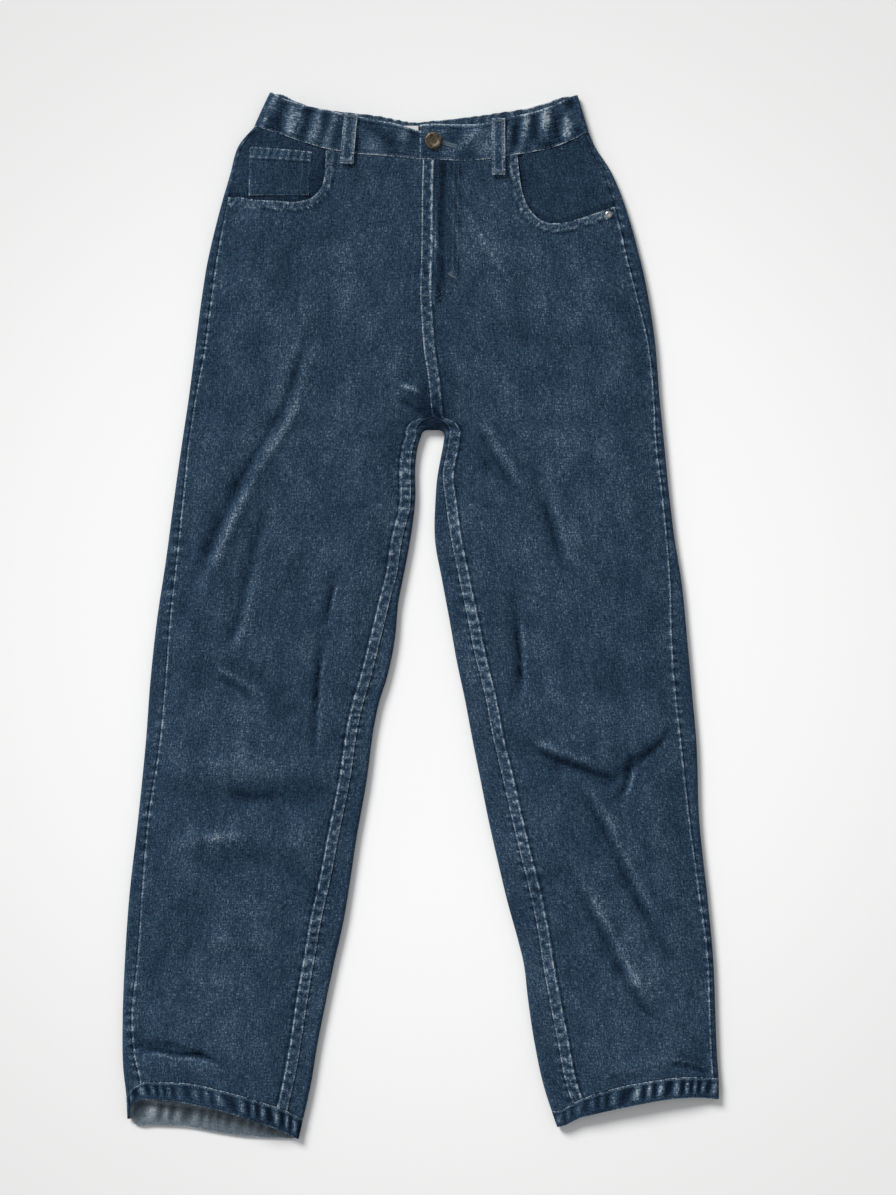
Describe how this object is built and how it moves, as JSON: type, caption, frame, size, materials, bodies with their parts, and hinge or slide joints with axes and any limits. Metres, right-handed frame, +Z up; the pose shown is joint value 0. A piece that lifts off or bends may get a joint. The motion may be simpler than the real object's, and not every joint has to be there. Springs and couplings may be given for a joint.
{
  "type": "mom jeans",
  "caption": "Blue denim mom jeans laid flat, high elasticated waist, curved front pockets, coin pocket, button and zip fly, tapered legs with turned hems.",
  "frame": {"origin": "middle of the garment's width and length, on the surface that it lies on", "axes": "+X to the wearer's left, +Y from the hems to the waist, +Z up out of the front"},
  "size_m": [0.5952, 1.045, 0.0174],
  "materials": {
    "denim": "worn mid-blue denim",
    "denim_dark": "unworn denim",
    "denim_faded": "faded denim",
    "brass": "aged",
    "nickel": "satin",
    "label": "plain woven"
  },
  "bodies": {
    "root": {"front_right": "denim", "front_left": "denim", "back_right": "denim", "back_left": "denim", "yoke_right": "denim", "yoke_left": "denim", "back_pocket_right": "denim_faded", "back_pocket_left": "denim_faded", "pocket_facing_right": "denim_dark", "pocket_facing_left": "denim_dark", "coin_pocket": "denim_faded", "waistband_right": "denim", "waistband_left": "denim", "waistband_back": "denim", "cuff_right": "denim", "cuff_left": "denim", "belt_loop_right": "denim_faded", "belt_loop_left": "denim_faded", "belt_loop_back_right": "denim_faded", "belt_loop_back_centre": "denim_faded", "belt_loop_back_left": "denim_faded", "zip": "denim_dark", "button": "brass", "rivet": "nickel", "label": "label"}
  },
  "joints": []
}
